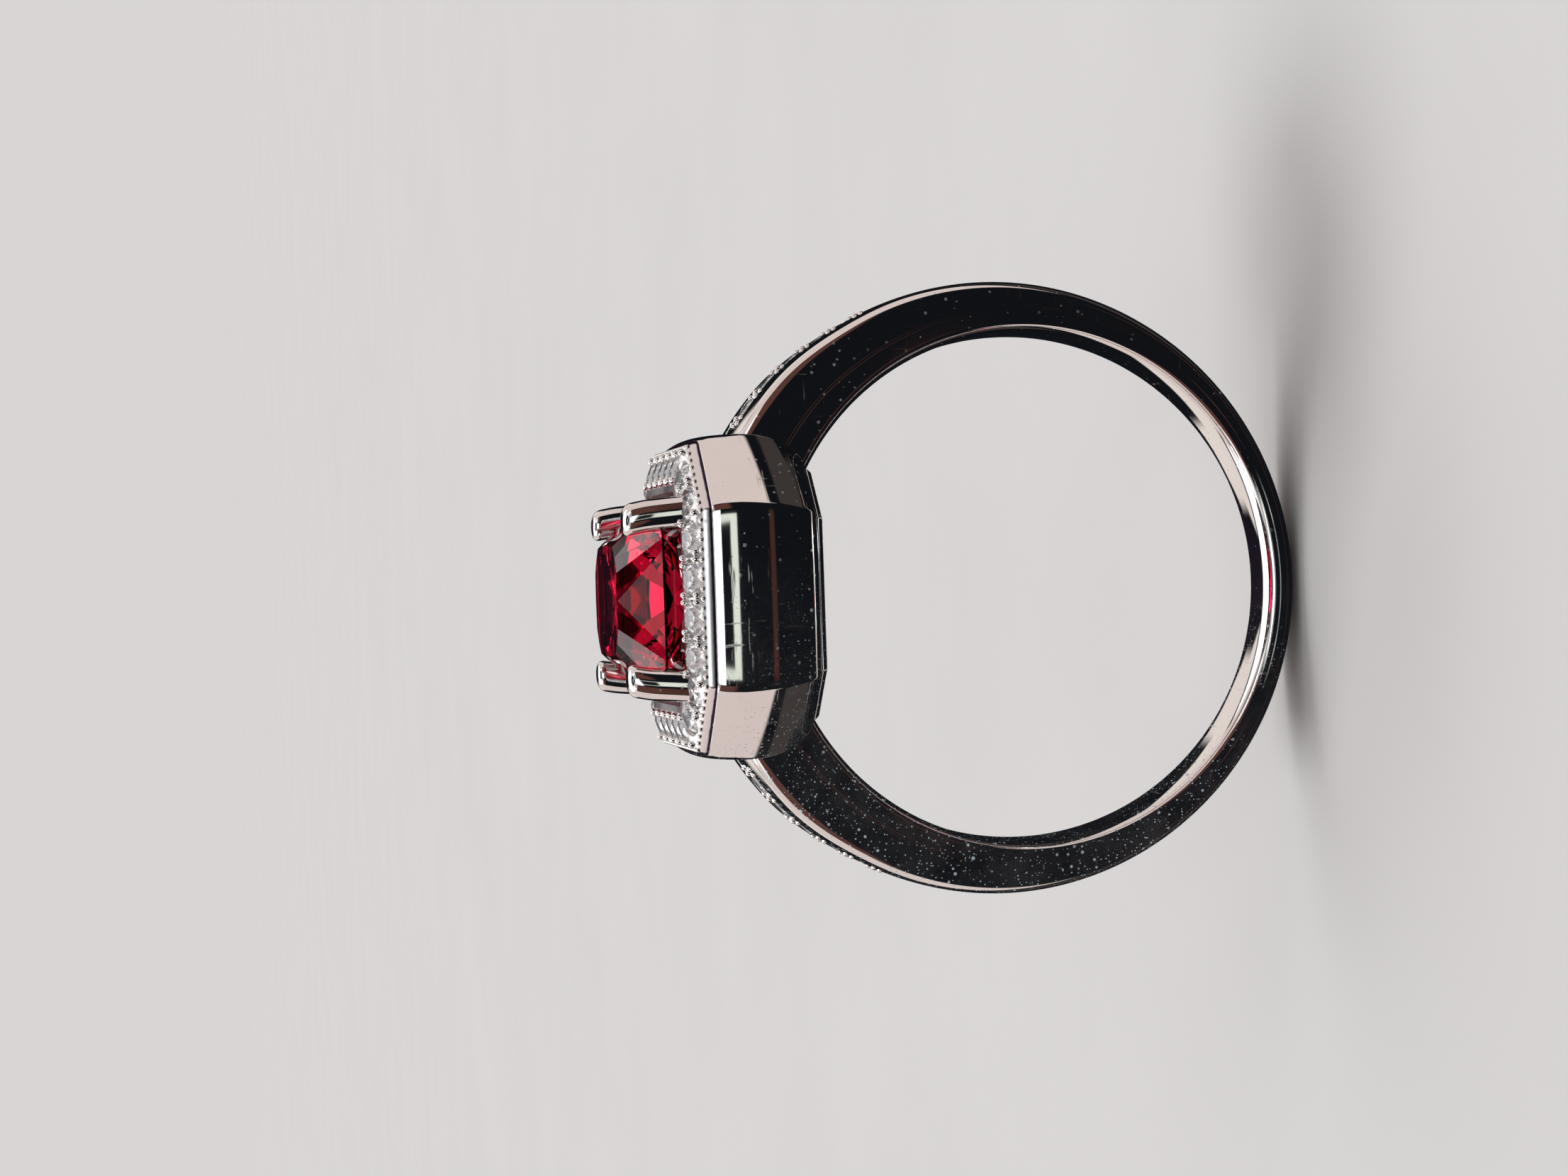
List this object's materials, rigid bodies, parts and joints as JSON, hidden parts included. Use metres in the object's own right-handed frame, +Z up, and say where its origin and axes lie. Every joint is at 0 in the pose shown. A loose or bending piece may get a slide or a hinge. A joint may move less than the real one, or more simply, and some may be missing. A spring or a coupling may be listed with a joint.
{
  "type": "cocktail ring",
  "caption": "Cocktail ring: tapered band with stone-set shoulders, deep eight-sided head, domed stone halo and a cut-corner red centre stone in claws.",
  "frame": {"origin": "centre of the finger hole, midway along its length", "axes": "+Z up through the head and the centre stone, +Y along the finger, +X across the finger"},
  "size_m": [0.0208, 0.012, 0.0241],
  "materials": {
    "silver": "bright rhodium-plated polish",
    "ruby": "faceted and polished",
    "zirconia": "faceted and polished"
  },
  "bodies": {
    "root": {"basket_lower_rail": "silver", "basket_seat_rail": "silver", "centre_stone": "ruby", "claw_back_left": "silver", "claw_back_right": "silver", "claw_front_left": "silver", "claw_front_right": "silver", "gallery_base_rail": "silver", "gallery_wall": "silver", "halo_frame": "silver", "halo_stone_01": "zirconia", "halo_stone_02": "zirconia", "halo_stone_03": "zirconia", "halo_stone_04": "zirconia", "halo_stone_05": "zirconia", "halo_stone_06": "zirconia", "halo_stone_07": "zirconia", "halo_stone_08": "zirconia", "halo_stone_09": "zirconia", "halo_stone_10": "zirconia", "halo_stone_11": "zirconia", "halo_stone_12": "zirconia", "halo_stone_13": "zirconia", "halo_stone_14": "zirconia", "halo_stone_15": "zirconia", "halo_stone_16": "zirconia", "halo_stone_17": "zirconia", "halo_stone_18": "zirconia", "halo_stone_19": "zirconia", "halo_stone_20": "zirconia", "halo_stone_21": "zirconia", "halo_stone_22": "zirconia", "halo_stone_23": "zirconia", "halo_stone_24": "zirconia", "halo_stone_25": "zirconia", "halo_stone_26": "zirconia", "shank": "silver", "shoulder_stone_left_1": "zirconia", "shoulder_stone_left_2": "zirconia", "shoulder_stone_left_3": "zirconia", "shoulder_stone_left_4": "zirconia", "shoulder_stone_left_5": "zirconia", "shoulder_stone_right_1": "zirconia", "shoulder_stone_right_2": "zirconia", "shoulder_stone_right_3": "zirconia", "shoulder_stone_right_4": "zirconia", "shoulder_stone_right_5": "zirconia"}
  },
  "joints": []
}
